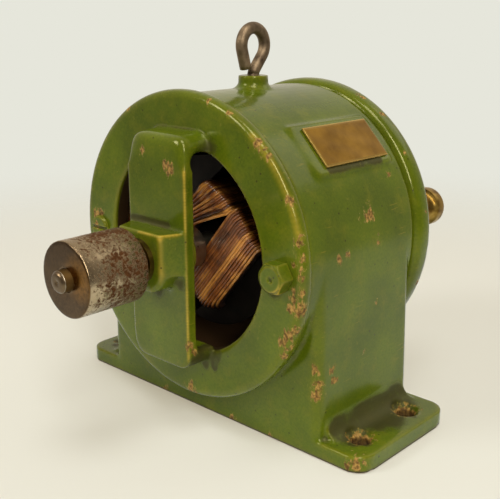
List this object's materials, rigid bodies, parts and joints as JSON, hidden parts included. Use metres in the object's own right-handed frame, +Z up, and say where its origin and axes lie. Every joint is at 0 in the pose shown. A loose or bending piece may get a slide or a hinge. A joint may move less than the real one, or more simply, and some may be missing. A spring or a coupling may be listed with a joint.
{
  "type": "dynamo",
  "caption": "Small cast dynamo on a footed base: shuttle armature behind an open front bracket, flat belt pulley, brush gear and brass terminals at a round rear cover.",
  "frame": {"origin": "centre of the four foot holes, on the underside of the base", "axes": "+Z up, shaft along Y with the pulley towards -Y, +X to the nameplate's side"},
  "size_m": [0.125, 0.1309, 0.1227],
  "materials": {
    "enamel": "thick glossy green enamel on a casting",
    "bronze": "turned bearing bronze",
    "eye_wire": "tarnished bronze wire",
    "plate_brass": "thin rubbed brass",
    "brass": "turned brass",
    "taped_coil": "copper coil under varnished cotton tape",
    "lead": "copper wire under cotton",
    "fibre": "pressed red fibre",
    "carbon": "pressed carbon",
    "spring_steel": "spring steel",
    "ebonite": "turned ebonite",
    "steel": "turned steel",
    "pulley_steel": "turned steel with rust pits",
    "iron": "soft iron",
    "winding": "varnished copper wire",
    "copper": "hard copper"
  },
  "bodies": {
    "frame": {"yoke_frame": "enamel", "front_bracket": "enamel", "rear_cover": "enamel", "front_bolts": "enamel", "rear_bolts": "enamel", "front_bush": "bronze", "rear_bush": "bronze", "lifting_eye": "eye_wire", "nameplate": "plate_brass", "carrier_screws": "brass", "brush_holder_top": "brass", "brush_holder_bottom": "brass", "holder_rivets": "brass", "terminal_stud_left": "brass", "terminal_stud_right": "brass", "terminal_locknuts": "brass", "field_coil_left": "taped_coil", "field_coil_right": "taped_coil", "coil_link": "lead", "field_lead_left": "lead", "field_lead_right": "lead", "brush_lead_left": "lead", "brush_lead_right": "lead", "brush_carrier": "fibre", "brush_spring_top": "spring_steel", "brush_spring_bottom": "spring_steel", "terminal_insulator_left": "ebonite", "terminal_insulator_right": "ebonite"},
    "armature": {"armature_shaft": "steel", "drive_pulley": "pulley_steel", "thrust_collar": "steel", "armature_core": "iron", "winding_core": "winding", "armature_winding": "winding", "commutator_sleeve": "ebonite", "commutator_segment_a": "copper", "commutator_segment_b": "copper"},
    "upper_brush": {"brush_top": "carbon"},
    "lower_brush": {"brush_bottom": "carbon"},
    "left_clamp": {"clamp_washer_left": "brass"},
    "right_clamp": {"clamp_washer_right": "brass"},
    "left_thumb_nut": {"thumb_nut_left": "brass"},
    "right_thumb_nut": {"thumb_nut_right": "brass"}
  },
  "joints": [
    {"name": "armature_spin", "type": "hinge", "parent": "frame", "child": "armature", "pos_m": [0, 0, 0.05665], "axis": [0, 1, 0], "continuous": true},
    {"name": "brush_slide_top", "type": "slide", "parent": "frame", "child": "upper_brush", "axis": [0, 0, 1], "range_m": [0, 0.002], "stiffness_N_per_m": 150, "springref_m": -0.003, "deforming": ["brush_spring_top"]},
    {"name": "brush_slide_bottom", "type": "slide", "parent": "frame", "child": "lower_brush", "axis": [0, 0, -1], "range_m": [0, 0.002], "stiffness_N_per_m": 150, "springref_m": -0.003, "deforming": ["brush_spring_bottom"]},
    {"name": "clamp_rise_left", "type": "slide", "parent": "frame", "child": "left_clamp", "axis": [0, 1, 0], "range_m": [0, 0.00163]},
    {"name": "thumb_nut_turn_left", "type": "hinge", "parent": "left_clamp", "child": "left_thumb_nut", "pos_m": [-0.0342, 0.045, 0.06125], "axis": [0, 1, 0], "range_deg": [0, 720]},
    {"name": "clamp_rise_right", "type": "slide", "parent": "frame", "child": "right_clamp", "axis": [0, 1, 0], "range_m": [0, 0.00163]},
    {"name": "thumb_nut_turn_right", "type": "hinge", "parent": "right_clamp", "child": "right_thumb_nut", "pos_m": [0.0342, 0.045, 0.06125], "axis": [0, 1, 0], "range_deg": [0, 720]}
  ],
  "couplings": [
    {"joint": "clamp_rise_left", "follows": "thumb_nut_turn_left", "m_per_rad": 0.00012892},
    {"joint": "clamp_rise_right", "follows": "thumb_nut_turn_right", "m_per_rad": 0.00012892}
  ]
}
